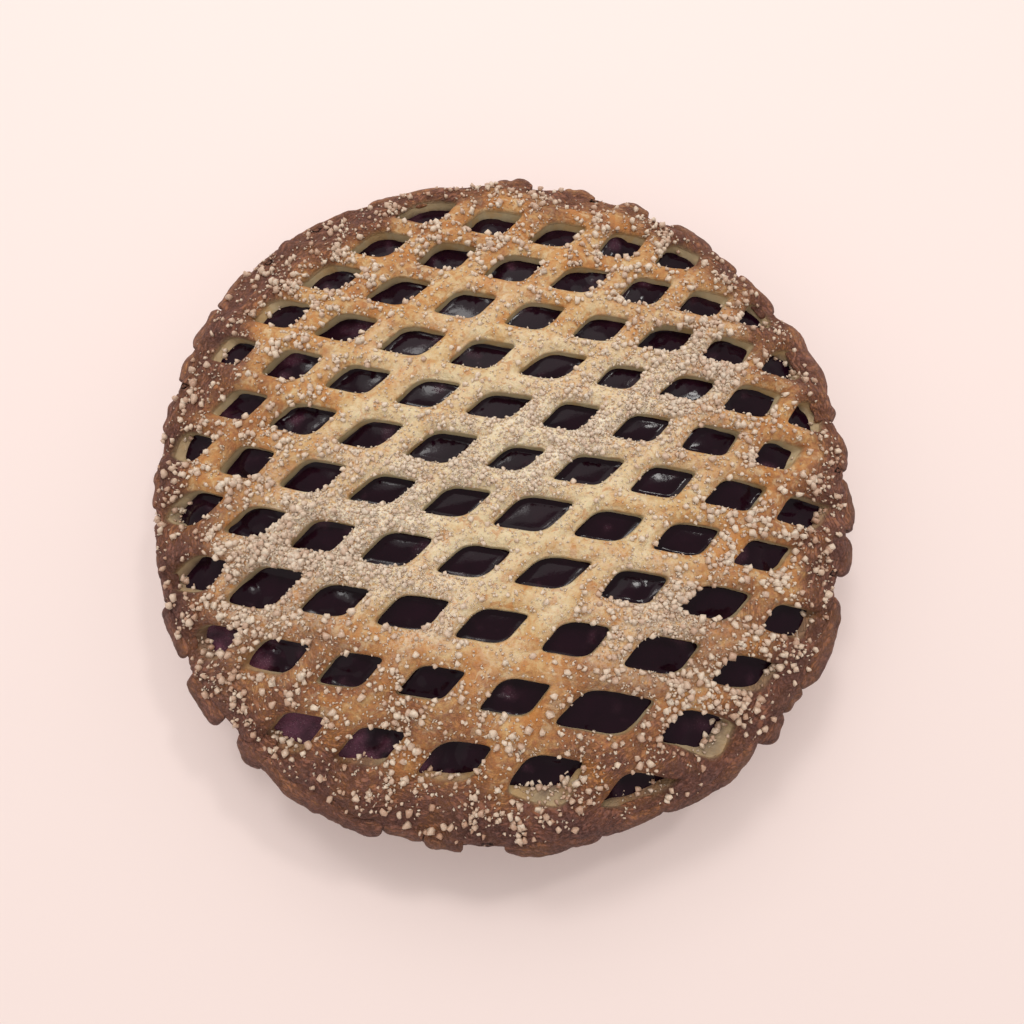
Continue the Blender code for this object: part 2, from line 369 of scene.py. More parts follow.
def pastry_material():
    """Top crust: cream dough, egg wash baked to amber, brown and fibrous at
    the rim, with painted shade in its folds. Attributes: brown, wash, wall, stain, dust, grain, and the fold depth that
    paints that shade."""
    mat, nt, bsdf, vec = base_material("lattice_pastry")
    brown = attr(nt, "brown")
    fold_shade = attr(nt, "fold_shade")
    n_big = noise_tex(nt, vec, 95.0, 3.0, 0.55, 0.3)
    n_mid = noise_tex(nt, vec, 380.0, 4.0, 0.62, 0.5)
    n_fine = noise_tex(nt, vec, 1000.0, 3.0, 0.65)
    fib = noise_tex(nt, attr(nt, "grain", "Vector"), 900.0, 5.0, 0.66, 0.25)
    fold_lines = band_of(nt, maths(nt, "ABSOLUTE", maths(nt, "SUBTRACT", fib, 0.5)), 0.0, 0.085)
    rim = band_of(nt, brown, 0.38, 0.72)
    f = maths(nt, "ADD", brown, maths(nt, "MULTIPLY", maths(nt, "SUBTRACT", n_big, 0.5), 0.45))
    f = maths(nt, "ADD", f, maths(nt, "MULTIPLY", maths(nt, "SUBTRACT", n_mid, 0.5), 0.75))
    f = maths(nt, "ADD", f, maths(nt, "MULTIPLY", maths(nt, "SUBTRACT", n_fine, 0.5), 0.22))
    # painted shade: the hollows of the rim's folds are drawn darker
    f = maths(nt, "ADD", f, maths(nt, "MULTIPLY", fold_shade, 0.22), clamp=True)
    col = ramp(nt, f, [
        (0.00, srgb(224, 202, 160)),
        (0.20, srgb(210, 175, 124)),
        (0.38, srgb(196, 146, 92)),
        (0.56, srgb(166, 110, 72)),
        (0.76, srgb(132, 82, 62)),
        (1.00, srgb(92, 54, 46)),
    ])
    # egg wash baked to amber in patches
    wash = attr(nt, "wash")
    wf = maths(nt, "MULTIPLY", wash, band_of(nt, n_big, 0.40, 0.66), clamp=True)
    col = mix(nt, maths(nt, "MULTIPLY", wf, 0.85), col, srgb(204, 134, 56))
    # blisters of wash, a few millimetres across, everywhere inside the rim
    speck = noise_tex(nt, vec, 330.0, 2.0, 0.5, 0.8)
    sp = maths(nt, "MULTIPLY", band_of(nt, speck, 0.56, 0.66), maths(nt, "SUBTRACT", 1.0, rim))
    col = mix(nt, maths(nt, "MULTIPLY", sp, 0.62), col, srgb(190, 122, 62))
    cream = maths(nt, "MULTIPLY", maths(nt, "SUBTRACT", 1.0, band_of(nt, speck, 0.36, 0.46)), maths(nt, "SUBTRACT", 1.0, rim))
    col = mix(nt, maths(nt, "MULTIPLY", cream, 0.40), col, srgb(228, 208, 170))
    # painted shade: thin dark lines along the fold grooves of the browned rim
    lines = maths(nt, "MULTIPLY", maths(nt, "SUBTRACT", 1.0, fold_lines), rim)
    col = mix(nt, maths(nt, "MULTIPLY", lines, 0.42), col, srgb(60, 34, 32))
    mauve = maths(nt, "MULTIPLY", rim, band_of(nt, n_fine, 0.42, 0.62))
    col = mix(nt, maths(nt, "MULTIPLY", mauve, 0.40), col, srgb(150, 106, 96))
    # inner walls of the windows: pale, unglazed, a little grey
    wall = attr(nt, "wall")
    pale = mix(nt, n_mid, srgb(222, 206, 166), srgb(186, 172, 140))
    pale = mix(nt, maths(nt, "MULTIPLY", band_of(nt, n_big, 0.50, 0.62), 0.55), pale, srgb(204, 162, 100))
    pale = mix(nt, maths(nt, "MULTIPLY", brown, 0.55), pale, srgb(176, 134, 92))
    col = mix(nt, wall, col, pale)
    stain = attr(nt, "stain")
    col = mix(nt, maths(nt, "MULTIPLY", stain, maths(nt, "MULTIPLY_ADD", n_mid, 0.8, 0.55, clamp=True), clamp=True),
              col, srgb(54, 22, 40))
    # sugar dust caked on
    dust = attr(nt, "dust")
    df = maths(nt, "MULTIPLY", dust, band_of(nt, n_fine, 0.36, 0.56), clamp=True)
    col = mix(nt, df, col, srgb(244, 230, 206))
    nt.links.new(col, bsdf.inputs["Base Color"])
    rough = maths(nt, "MULTIPLY_ADD", wf, -0.28, 0.70)
    nt.links.new(rough, bsdf.inputs["Roughness"])
    bsdf.inputs["Specular IOR Level"].default_value = 0.35
    bsdf.inputs["Subsurface Weight"].default_value = 0.06
    bsdf.inputs["Subsurface Radius"].default_value = (0.004, 0.002, 0.001)
    bsdf.inputs["Subsurface Scale"].default_value = 1.0
    h = maths(nt, "ADD", maths(nt, "MULTIPLY", n_mid, 0.9), maths(nt, "MULTIPLY", n_fine, 0.6))
    h = maths(nt, "ADD", h, maths(nt, "MULTIPLY", maths(nt, "MULTIPLY", fold_lines, rim), 0.5))
    h = maths(nt, "MULTIPLY", h, maths(nt, "MULTIPLY_ADD", wall, -0.8, 1.0))
    bump(nt, bsdf, h, 0.9, 0.0008)
    return mat


def crust_material():
    mat, nt, bsdf, vec = base_material("baked_crust")
    brown = attr(nt, "brown")
    n_mid = noise_tex(nt, vec, 150.0, 5.0, 0.6, 0.6)
    n_fine = noise_tex(nt, vec, 650.0, 4.0, 0.65)
    f = maths(nt, "ADD", brown, maths(nt, "MULTIPLY", maths(nt, "SUBTRACT", n_mid, 0.5), 0.6))
    f = maths(nt, "ADD", f, maths(nt, "MULTIPLY", maths(nt, "SUBTRACT", n_fine, 0.5), 0.25), clamp=True)
    col = ramp(nt, f, [
        (0.00, srgb(224, 204, 166)),
        (0.25, srgb(208, 176, 124)),
        (0.50, srgb(164, 116, 78)),
        (0.75, srgb(124, 80, 60)),
        (1.00, srgb(84, 50, 42)),
    ])
    stain = attr(nt, "stain")
    col = mix(nt, maths(nt, "MULTIPLY", stain, maths(nt, "MULTIPLY_ADD", n_mid, 1.4, 0.3, clamp=True), clamp=True),
              col, srgb(62, 24, 42))
    nt.links.new(col, bsdf.inputs["Base Color"])
    bsdf.inputs["Roughness"].default_value = 0.72
    bsdf.inputs["Specular IOR Level"].default_value = 0.35
    h = maths(nt, "ADD", n_mid, maths(nt, "MULTIPLY", n_fine, 0.5))
    bump(nt, bsdf, h, 0.6, 0.0006)
    return mat


def filling_material():
    mat, nt, bsdf, vec = base_material("cherry_filling")
    n_mid = noise_tex(nt, vec, 110.0, 3.0, 0.5, 0.4)
    n_fine = noise_tex(nt, vec, 1100.0, 2.0, 0.6)
    froth = attr(nt, "froth")
    vor = nt.nodes.new("ShaderNodeTexVoronoi")
    vor.inputs["Scale"].default_value = 1300.0
    nt.links.new(vec, vor.inputs["Vector"])
    bubble = maths(nt, "SUBTRACT", 1.0, band_of(nt, vor.outputs["Distance"], 0.05, 0.45))
    col = mix(nt, n_mid, srgb(14, 3, 10), srgb(36, 9, 24))
    ff = maths(nt, "MULTIPLY", froth, maths(nt, "MULTIPLY_ADD", n_fine, 1.0, 0.35, clamp=True), clamp=True)
    col = mix(nt, maths(nt, "MULTIPLY", ff, 0.8), col, srgb(120, 70, 90))
    col = mix(nt, maths(nt, "MULTIPLY", maths(nt, "MULTIPLY", bubble, froth), 0.25), col, srgb(186, 150, 160))
    nt.links.new(col, bsdf.inputs["Base Color"])
    rough = maths(nt, "MULTIPLY_ADD", froth, 0.16, 0.12)
    nt.links.new(rough, bsdf.inputs["Roughness"])
    bsdf.inputs["Specular IOR Level"].default_value = 0.14
    h = maths(nt, "ADD", maths(nt, "MULTIPLY", n_fine, maths(nt, "MULTIPLY_ADD", froth, 0.7, 0.10)),
              maths(nt, "MULTIPLY", bubble, maths(nt, "MULTIPLY", froth, 1.4)))
    bump(nt, bsdf, h, 0.6, 0.0004)
    return mat


def sugar_material(name, tint, deep):
    mat, nt, bsdf, vec = base_material(name)
    n_fine = noise_tex(nt, vec, 520.0, 3.0, 0.6)
    shade = attr(nt, "shade")
    col = mix(nt, n_fine, tint, deep)
    col = mix(nt, shade, col, srgb(164, 110, 78))
    nt.links.new(col, bsdf.inputs["Base Color"])
    bsdf.inputs["Roughness"].default_value = 0.35
    bsdf.inputs["Specular IOR Level"].default_value = 0.5
    bsdf.inputs["Subsurface Weight"].default_value = 0.25
    bsdf.inputs["Subsurface Radius"].default_value = (0.0012, 0.0010, 0.0009)
    bsdf.inputs["Subsurface Scale"].default_value = 1.0
    bump(nt, bsdf, n_fine, 0.5, 0.0003)
    return mat


# ------------------------------------------------------------- lattice crust
SIDE_N = 18                     # mesh steps along each side of a cell
FOLD = 0.0022                   # radius of the rounded edge
SHOULDER = 0.0012               # radius of the rounded window edges
LIP = 0.0004                    # the sheet stops this far inside its lobes
RIM_FROM = 0.1105               # windows are squeezed beyond this radius
SPLIT_R = 0.0800                # the sheet's mesh is in two rings


def sheet_radius(angle):
    """Edge of the sheet itself; the lobes round it are pressed on to it."""
    deg = np.degrees(angle) % 360.0
    bare = np.exp(-((deg - 126.0) / 15.0) ** 4)
    wander = 0.0006 * np.sin(7 * angle + 1.0) + 0.0004 * np.sin(17 * angle)
    return slow_radius(angle) - LIP * (1 - bare) + 0.6 * wander


def cell_list():
    cells = []
    for i in range(-8, 10):
        for j in range(-10, 10):
            x, y = stretched(i, j)
            if abs(i) > 8 or abs(j) > 9:
                continue
            if math.hypot(x, y) < PIE_R + 0.020:
                cells.append((i, j))
    return cells


def cell_boundary():
    """Points round the edge of a unit cell, in -1 to 1, SIDE_N to a side."""
    t = np.arange(SIDE_N) / SIDE_N * 2 - 1
    one = np.ones(SIDE_N)
    a = np.concatenate([t, one, -t, -one])
    b = np.concatenate([-one, t, one, -t])
    return a, b


def window_size(i, j, cy):
    k = WINDOW_SCALE.get((i, j), 1.0)
    return (WINDOW_U + WINDOW_U_BACK * cy / PIE_R) * k, WINDOW_V * k


def window_outline(a, b, i, j, cy, rng):
    """Window outline of one cell, in cell coordinates (du, dv)."""
    p_sharp, p_blunt = rng.uniform(6.5, 10.0), rng.uniform(3.1, 4.6)
    w = smooth(-0.35, 0.35, a * b)
    p = p_blunt + (p_sharp - p_blunt) * w
    norm = (np.abs(a) ** p + np.abs(b) ** p) ** (1.0 / p)
    qa, qb = a / norm, b / norm
    hu, hv = window_size(i, j, cy)
    hu *= 1 + rng.normal() * 0.035
    hv *= 1 + rng.normal() * 0.045
    shear = WINDOW_SHEAR + rng.normal() * 0.012
    du = hu * qa + rng.normal() * 0.006
    dv = hv * qb - shear * qa + rng.normal() * 0.006
    return du, dv


def fold(x, y, h):
    """Place a point of the sheet: plan position and height above its upper
    side (negative is inside the sheet); beyond the trimmed edge it turns down."""
    r = np.hypot(x, y)
    ang = np.arctan2(y, x)
    e = sheet_radius(ang)
    start = e - FOLD
    slope = np.arctan(-dome_slope(np.minimum(r, start)))
    q = np.clip((r - start) / FOLD, 0.0, None)
    turn = slope + (1.45 - slope) * smooth(0.0, 1.0, np.clip(q / 1.55, 0, 1))
    steps = 12
    rr, zz = np.minimum(r, start), dome_z(np.minimum(r, start))
    for k in range(steps):
        qa = q * (k + 0.5) / steps
        t = slope + (1.45 - slope) * smooth(0.0, 1.0, np.clip(qa / 1.55, 0, 1))
        rr = rr + np.cos(t) * FOLD * q / steps
        zz = zz - np.sin(t) * FOLD * q / steps
    rr = rr + np.sin(turn) * h
    zz = zz + np.cos(turn) * h
    return rr * np.cos(ang), rr * np.sin(ang), zz, q


def grain_coords(x, y, z):
    """Coordinates for marks that are drawn out along the edge."""
    r, ang = np.hypot(x, y), np.arctan2(y, x)
    p = np.stack([x, y, z], 1)
    warp = 0.0045 * N4(p, 55.0) + 0.0016 * N2(p, 150.0)
    return np.stack([r + warp, 0.034 * np.cos(ang), 0.034 * np.sin(ang) + 0.4 * z], 1)


def rim_relief(x, y):
    """Folds and flakes of the browned rim: height, and how deep in a fold."""
    g = grain_coords(x, y, np.zeros_like(x))
    big = N3.ridged(g, 95.0, 2)
    mid = N1.ridged(g + 0.3, 330.0, 2)
    h = 0.0008 * big + 0.00040 * mid
    # depth in the folds, used only to paint shade into them
    cav = 0.7 * smooth(0.25, -0.45, big) + 0.5 * smooth(0.2, -0.5, mid)
    return h, np.clip(cav, 0, 1)


def build_lattice():
    rng = np.random.RandomState(77)
    cells = cell_list()
    a, b = cell_boundary()
    n = len(a)
    walls = (1.0, 0.80, 0.60, 0.42, 0.26)
    arc = np.radians([10, 36, 62, 86])
    flat = [0.10, 0.26, 0.44, 0.62, 0.81, 1.0]
    ring_count = len(walls) + len(arc) + len(flat)
    first_top = len(walls) + len(arc) - 1
    FACES = []
    X, Y, H, DEP, SLOPE = [], [], [], [], []
    base = 0
    shut_rings = []
    for (i, j) in cells:
        ox, oy = stretched(i, j)
        r_cell = math.hypot(ox, oy)
        shut = r_cell > SHUT_FROM
        du, dv = window_outline(a, b, i, j, oy, rng)
        dent = rng.uniform(0.0002, 0.0009) if r_cell < 0.1175 else 0.0
        slant = rng.uniform(0.55, 1.15)
        bx, by = stretched(i + a * 0.5, j + b * 0.5)
        hx, hy = stretched(i + du, j + dv)
        # a slow wander of the window's edge
        p = np.stack([hx, hy, np.zeros(n)], 1)
        # the pressed rim keeps the windows away from the edge
        hr = np.hypot(hx, hy)
        k = np.where(hr > RIM_FROM, (RIM_FROM + 0.0050 * (1 - np.exp(-np.maximum(hr - RIM_FROM, 0) / 0.0050))) / hr, 1.0)
        if not shut:
            hx, hy = hx * k, hy * k
        cx, cy = hx.mean(), hy.mean()
        w = 1 + 0.022 * N3(p, 260.0) + 0.025 * N4(p, 120.0)
        hx, hy = cx + (hx - cx) * w, cy + (hy - cy) * w
        dx, dy = bx - hx, by - hy
        dist = np.hypot(dx, dy)
        ux, uy = dx / dist, dy / dist
        r_mid = max(math.hypot(cx, cy), 1e-6)
        ex, ey = cx / r_mid, cy / r_mid
        # on its outer side a window near the rim shows the sloping crust
        outward = np.clip(((hx - cx) * ex + (hy - cy) * ey) / 0.0065, 0, 1)
        wide = WIDE.get((i, j), 0.0)
        slope = smooth(0.092, 0.108, np.hypot(hx, hy)) * outward ** 0.8 * slant
        slope = slope * (1 - 0.72 * smooth(0.10, 0.80, cy / PIE_R))
        if wide:
            hx, hy = hx + ex * 0.0028 * wide * outward, hy + ey * 0.0028 * wide * outward
            dx, dy = bx - hx, by - hy
            dist = np.hypot(dx, dy)
            ux, uy = dx / dist, dy / dist
            slope = outward ** 0.7 * (0.55 + 0.55 * wide)
        th = thickness(np.minimum(np.hypot(hx, hy), PIE_R)) + 0.0024 * slope + 0.0006 + 0.0008 * wide * slope
        sh = np.minimum(SHOULDER * (1 + 0.9 * slope), dist * 0.45)
        xs, ys, hs, deps = [], [], [], []
        for depth in walls:
            g = ((depth - walls[-1]) / (1 - walls[-1])) ** 0.85
            out = 0.0003 * g * (1 - np.clip(slope, 0, 1))
            xs.append(hx + ux * out - ex * (0.0058 + 0.0044 * wide) * slope * g)
            ys.append(hy + uy * out - ey * (0.0058 + 0.0044 * wide) * slope * g)
            hs.append(-STRIP_SINK - sh - (th - sh) * g if not shut else np.full(n, -dent))
            deps.append(np.full(n, depth))
        for k, t in enumerate(arc):
            xs.append(hx + ux * sh * (1 - np.cos(t)))
            ys.append(hy + uy * sh * (1 - np.cos(t)))
            if shut:
                hs.append(np.full(n, -dent * (1 - 0.08 * (k + 1))))
            else:
                hs.append(-STRIP_SINK - sh * (1 - np.sin(t)))
            deps.append(np.full(n, 0.24 * (1 - np.sin(t))))
        for f in flat:
            d = sh + (dist - sh) * f
            xs.append(hx + ux * d)
            ys.append(hy + uy * d)
            crown = STRIP_CROWN * np.clip(dist / 0.0042, 0.6, 1.0)
            low = dent * 0.7 if shut else STRIP_SINK
            hs.append(-low + (crown + low) * np.sin(0.5 * math.pi * f) ** 0.7)
            deps.append(np.zeros(n))
        if shut:
            deps = [np.zeros(n) for _ in deps]
        for arr, src in ((X, xs), (Y, ys), (H, hs), (DEP, deps)):
            arr.append(np.array(src))
        SLOPE.append(np.array([np.clip(slope, 0, 1) * (-1.0 if wide else 1.0)] * ring_count) * (0.0 if shut else 1.0))
        idx = base + np.arange(ring_count * n).reshape(ring_count, n)
        nxt = np.roll(idx, -1, axis=1)
        FACES.append(np.stack([idx[:-1], nxt[:-1], nxt[1:], idx[1:]], -1).reshape(-1, 4))
        if shut:
            shut_rings.append(idx[0])
        base += ring_count * n
    X, Y, H, DEP, SLOPE = (np.concatenate([v.ravel() for v in arr]) for arr in (X, Y, H, DEP, SLOPE))
    F = np.concatenate(FACES)
    # weld the cells along their shared sides, sharing the mean height
    ring_id = np.tile(np.repeat(np.arange(ring_count), n), len(cells))
    edge = ring_id == ring_count - 1
    key = np.full((len(X), 2), -1, np.int64)
    key[edge, 0] = np.round(X[edge] / 2e-6)
    key[edge, 1] = np.round(Y[edge] / 2e-6)
    key[~edge, 0] = np.nonzero(~edge)[0] + 10 ** 9
    _, first, inv = np.unique(key, axis=0, return_index=True, return_inverse=True)
    inv = inv.ravel()
    Hm = np.bincount(inv, H) / np.bincount(inv)
    X, Y, DEP, SLOPE, ring_id, H = X[first], Y[first], DEP[first], SLOPE[first], ring_id[first], Hm
    F = inv[F]
    shut_rings = [inv[k] for k in shut_rings]
    # relax the top heights a little across the welds
    top = ring_id >= first_top
    e = np.concatenate([F[:, [0, 1]], F[:, [1, 2]], F[:, [2, 3]], F[:, [3, 0]]])
    for _ in range(3):
        acc = np.bincount(e[:, 0], H[e[:, 1]], len(H)) + np.bincount(e[:, 1], H[e[:, 0]], len(H))
        c = np.bincount(e[:, 0], None, len(H)) + np.bincount(e[:, 1], None, len(H))
        H = np.where(top, 0.5 * H + 0.5 * acc / np.maximum(c, 1), H)
    # floors of the windows that are pressed shut: rings drawn in to the middle
    for ring in shut_rings:
        m = len(ring)
        cx, cy, ch = X[ring].mean(), Y[ring].mean(), H[ring].mean()
        prev = ring
        for f in (0.84, 0.68, 0.52, 0.36, 0.20):
            start = len(X)
            X = np.append(X, cx + (X[ring] - cx) * f)
            Y = np.append(Y, cy + (Y[ring] - cy) * f)
            H = np.append(H, np.full(m, ch))
            DEP, SLOPE = np.append(DEP, np.zeros(m)), np.append(SLOPE, np.zeros(m))
            new = start + np.arange(m)
            F = np.concatenate([F, np.stack([new, np.roll(new, -1), np.roll(prev, -1), prev], -1)])
            prev = new
        start = len(X)
        X, Y, H = np.append(X, cx), np.append(Y, cy), np.append(H, ch)
        DEP, SLOPE = np.append(DEP, 0.0), np.append(SLOPE, 0.0)
        k = np.arange(m // 2) * 2
        F = np.concatenate([F, np.stack([np.full(m // 2, start), prev[k], prev[(k + 1) % m], prev[(k + 2) % m]], -1)])
    # pastry relief
    r = np.hypot(X, Y)
    P = np.stack([X, Y, np.zeros_like(X)], 1)
    outer = smooth(0.092, 0.112, r)
    band = sugar_band(X, Y)
    up = 1 - np.clip(DEP / 0.20, 0, 1)
    # fold depth of the rim, kept to paint shade into its hollows
    folds, fold_shade = rim_relief(X, Y)
    relief = 0.00034 * N1.fbm(P, 150.0, 3) + 0.00040 * N2(P, 70.0) + 0.00030 * N3.fbm(P, 400.0, 2)
    relief += outer * folds
    relief += band * (0.00055 * N4.fbm(P, 430.0, 2) + 0.0002)
    H = H + relief * up
    x, y, z, q = fold(X, Y, H)
    # trim: faces wholly past the turned-down edge go, the rest end level
    limit = 1.0 + (thickness(PIE_R) + 0.0008) / FOLD
    F = F[(q[F] < limit).any(axis=1)]
    over = q > limit
    s = (sheet_radius(np.arctan2(Y[over], X[over])) - FOLD + limit * FOLD) / r[over]
    x2, y2, z2, _ = fold(X[over] * s, Y[over] * s, H[over])
    x[over], y[over], z[over] = x2, y2, z2
    V = np.stack([x, y, z], 1)
    d1, d2 = V[F[:, 2]] - V[F[:, 0]], V[F[:, 3]] - V[F[:, 1]]
    fn = np.cross(d1, d2)
    ok = np.linalg.norm(fn, axis=1) > 2e-10
    F, fn = F[ok], fn[ok]
    vn = np.zeros_like(V)
    for k in range(4):
        for c in range(3):
            vn[:, c] += np.bincount(F[:, k], fn[:, c], len(V))
    vn /= np.maximum(np.linalg.norm(vn, axis=1), 1e-15)[:, None]

    rr = r / PIE_R
    brown = browning(X, Y)
    wall = smooth(0.03, 0.30, DEP) * (1 - 0.72 * np.clip(SLOPE * 1.3, 0, 1) * smooth(0.10, -0.25, Y / PIE_R))
    pale_slope = np.clip(-SLOPE, 0, 1)
    stain = smooth(0.46, 0.92, DEP + 0.30 * pale_slope + 0.10 * N2(P, 300.0)) * 0.95
    wash = np.clip(0.35 + 0.9 * N1.fbm(P + 3.1, 75.0, 2), 0, 1) * (1 - 0.75 * smooth(0.86, 0.99, rr))
    wash *= (0.35 + 0.65 * smooth(0.15, 0.55, rr))
    dust = np.clip(band * 0.95 + 0.22 * (1 - smooth(0.45, 0.75, rr)) * smooth(-0.3, 0.3, N3(P, 90.0)), 0, 1) * (1 - wall)
    attrs = {"brown": brown, "wall": wall, "stain": stain, "wash": wash, "dust": dust, "fold_shade": fold_shade * outer}
    vecs = {"grain": grain_coords(X, Y, z - dome_z(np.minimum(r, PIE_R)))}
    mat = pastry_material()
    out = []
    cr = np.hypot(V[F, 0].mean(1), V[F, 1].mean(1))
    for name, sel in (("lattice_middle", cr < SPLIT_R), ("lattice_outer", cr >= SPLIT_R)):
        f = F[sel]
        used = np.unique(f)
        remap = np.zeros(len(V), int)
        remap[used] = np.arange(len(used))
        out.append(new_object(name, V[used], remap[f], mat, {k: v[used] for k, v in attrs.items()},
                              vecs={k: v[used] for k, v in vecs.items()}, normals=vn[used]))
    return out


# ----------------------------------------------------- lobes of the cut edge
def build_lobes(mat):
    """Ends of strips, pressed flat on the flange: a pillow of dough each."""
    rng = np.random.RandomState(31)
    V, F, T_ALL, INNER = [], [], [], []
    base = 0
    m = 44
    for k, (first, last, size) in enumerate(EDGE_LOBES):
        width = math.radians(last - first)
        nt = max(18, int(width * EDGE_R / 0.00062))
        t1 = 0.5 - 0.5 * np.cos(np.pi * np.linspace(0.035, 0.965, nt))
        t1 = 0.35 * t1 + 0.65 * np.linspace(t1[0], t1[-1], nt)
        phi = np.arange(m) / m * 2 * math.pi
        T, PH = np.meshgrid(t1, phi, indexing="ij")
        mid_deg = (first + last) / 2 % 360
        blocky = squareness(mid_deg)
        side = np.clip(1 - np.abs(2 * T - 1) ** 9, 0, 1) ** 0.5
        ang = math.radians(first) + (T * 1.05 - 0.025) * width
        slow = slow_radius(ang)
        pa = np.stack([0.118 * np.cos(ang).ravel(), 0.118 * np.sin(ang).ravel(), np.full(ang.size, 0.01 * k)], 1)
        ragged = (0.0006 * N2.fbm(pa, 170.0, 3)).reshape(ang.shape)
        r_out = slow + size * (4 * T * (1 - T)) ** blocky + 0.0002 + ragged
        r_in = slow - 0.0042 - rng.uniform(0.0, 0.0010) + 0.0024 * (1 - side)
        mid, half = (r_out + r_in) / 2, (r_out - r_in) / 2
        c, s = np.cos(PH), np.sin(PH)
        rho = mid + half * np.sign(c) * np.abs(c) ** 0.72
        inner = np.clip((rho - r_in) / np.maximum(r_out - r_in, 1e-5), 0, 1)
        thick = (0.0050 + 0.0006 * math.sin(5.1 * k)) * side ** 0.55 * (0.35 + 0.65 * smooth(0.0, 0.55, inner))
        zoff = thick / 2 * np.sign(s) * np.abs(s) ** 0.78
        lean = (T - 0.5) * (0.0011 if k % 2 else -0.0009)
        # its top starts under the sheet, rises over it and droops at the end
        top = -0.0018 + 0.0019 * smooth(0.0, 0.55, inner) - 0.0010 * smooth(0.60, 1.0, inner) + lean
        zc = dome_z(rho) + top - thick / 2
        x, y, z = rho * np.cos(ang), rho * np.sin(ang), zc + zoff
        # the fold depth here also paints shade into the lobes' hollows
        folds, cav = rim_relief(x.ravel() * 1.0 + 0.37 * (k % 3), y.ravel())
        p3 = np.stack([x.ravel(), y.ravel(), z.ravel()], 1)
        swell = 0.0005 * N1(p3, 85.0) + 0.00018 * N3.fbm(p3, 420.0, 2)
        # a crease or two across the lobe
        crease = 0.00035 * np.sin(2 * math.pi * (T * (1.3 + 0.5 * math.sin(k)) + inner * 0.5) + k).ravel()
        disp = (folds * 0.55 + swell + crease) * (side ** 0.5).ravel()
        nr = (np.sign(c) * np.abs(c) ** 1.2).ravel()
        nz = (np.sign(s) * np.abs(s) ** 0.8).ravel()
        x = x.ravel() + disp * nr * np.cos(ang.ravel())
        y = y.ravel() + disp * nr * np.sin(ang.ravel())
        z = z.ravel() + disp * nz
        idx = base + np.arange(nt * m).reshape(nt, m)
        nx = np.roll(idx, -1, axis=1)
        F.append(np.stack([idx[:-1], idx[1:], nx[1:], nx[:-1]], -1).reshape(-1, 4))
        pts = np.stack([x, y, z], 1)
        ends = ((idx[0], pts[:m].mean(0), False), (idx[-1], pts[-m:].mean(0), True))
        V.append(pts)
        T_ALL.append(cav)
        INNER.append(inner.ravel())
        base += nt * m
        for ring, c0, flip in ends:         # close each end with a fan
            V.append(c0[None, :])
            T_ALL.append(np.zeros(1))
            INNER.append(np.full(1, 0.5))
            kk = np.arange(m // 2) * 2
            a, b2, c2 = ring[kk], ring[(kk + 1) % m], ring[(kk + 2) % m]
            cc = np.full(m // 2, base)
            F.append(np.stack([cc, c2, b2, a], -1) if flip else np.stack([cc, a, b2, c2], -1))
            base += 1
    V, F = np.concatenate(V), np.concatenate(F)
    cav, inner = np.concatenate(T_ALL), np.concatenate(INNER)
    p = np.stack([V[:, 0], V[:, 1], np.zeros(len(V))], 1)
    brown = browning(V[:, 0], V[:, 1]) + 0.10 * smooth(0.75, 1.0, inner) - 0.12 * smooth(0.35, 0.6, inner) * (1 - smooth(0.6, 0.85, inner)) \
        + 0.10 * N2(p, 60.0)
    brown = np.clip(brown, 0.2, 1.0)
    zero = np.zeros(len(V))
    return new_object("edge_lobes", V, F[:, ::-1], mat,
                      {"brown": brown, "wall": zero, "stain": zero, "wash": zero + 0.25, "dust": zero, "fold_shade": cav},
                      vecs={"grain": grain_coords(V[:, 0], V[:, 1], V[:, 2] - dome_z(np.hypot(V[:, 0], V[:, 1])))})


